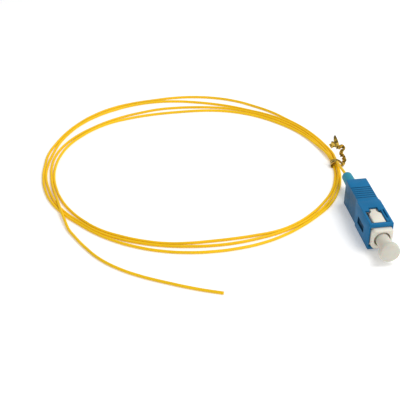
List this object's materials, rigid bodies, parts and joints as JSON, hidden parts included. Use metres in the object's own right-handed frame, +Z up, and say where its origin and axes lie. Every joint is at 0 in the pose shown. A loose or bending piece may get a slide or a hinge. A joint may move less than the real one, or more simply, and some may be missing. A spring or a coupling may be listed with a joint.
{
  "type": "fibre optic pigtail",
  "caption": "Fibre optic pigtail: a square push-pull plug with dust cap and boot on a loose tied coil of tight-buffered fibre with one bare end.",
  "frame": {"origin": "on the face that the grip rests on, at the middle of its width and length", "axes": "+Z up from the rest face, -Y the way the plug mates, so the fibre leaves towards +Y and the coil lies towards -X"},
  "size_m": [0.1044, 0.1216, 0.012],
  "materials": {
    "grip_blue": "satin moulded plastic",
    "frame_cream": "fine matt moulded plastic",
    "ferrule_ceramic": "polished",
    "holder_nickel": "nickel plated, satin",
    "spring_steel": "drawn wire",
    "boot_teal": "soft moulded elastomer",
    "cap_frosted": "frosted translucent plastic",
    "fibre_yellow": "smooth extruded buffer",
    "tie_brass": "metallised ribbon, creased"
  },
  "bodies": {
    "plug": {"plug_frame": "frame_cream", "stop_ring": "holder_nickel", "boot": "boot_teal", "spring": "spring_steel", "fibre_lead": "fibre_yellow", "fibre_coil": "fibre_yellow", "fibre_tail": "fibre_yellow", "twist_tie": "tie_brass"},
    "grip": {"grip_housing": "grip_blue"},
    "ferrule_unit": {"ferrule": "ferrule_ceramic", "ferrule_holder": "holder_nickel"},
    "cap": {"dust_cap": "cap_frosted"}
  },
  "joints": [
    {"name": "grip_slide", "type": "slide", "parent": "plug", "child": "grip", "axis": [0, 1, 0], "range_m": [0, 0.0007]},
    {"name": "ferrule_float", "type": "slide", "parent": "plug", "child": "ferrule_unit", "axis": [0, 1, 0], "range_m": [0, 0.001], "stiffness_N_per_m": 1000, "springref_m": -0.006, "deforming": ["spring"]},
    {"name": "cap_pull", "type": "slide", "parent": "ferrule_unit", "child": "cap", "axis": [0, -1, 0], "range_m": [0, 0.02]}
  ]
}
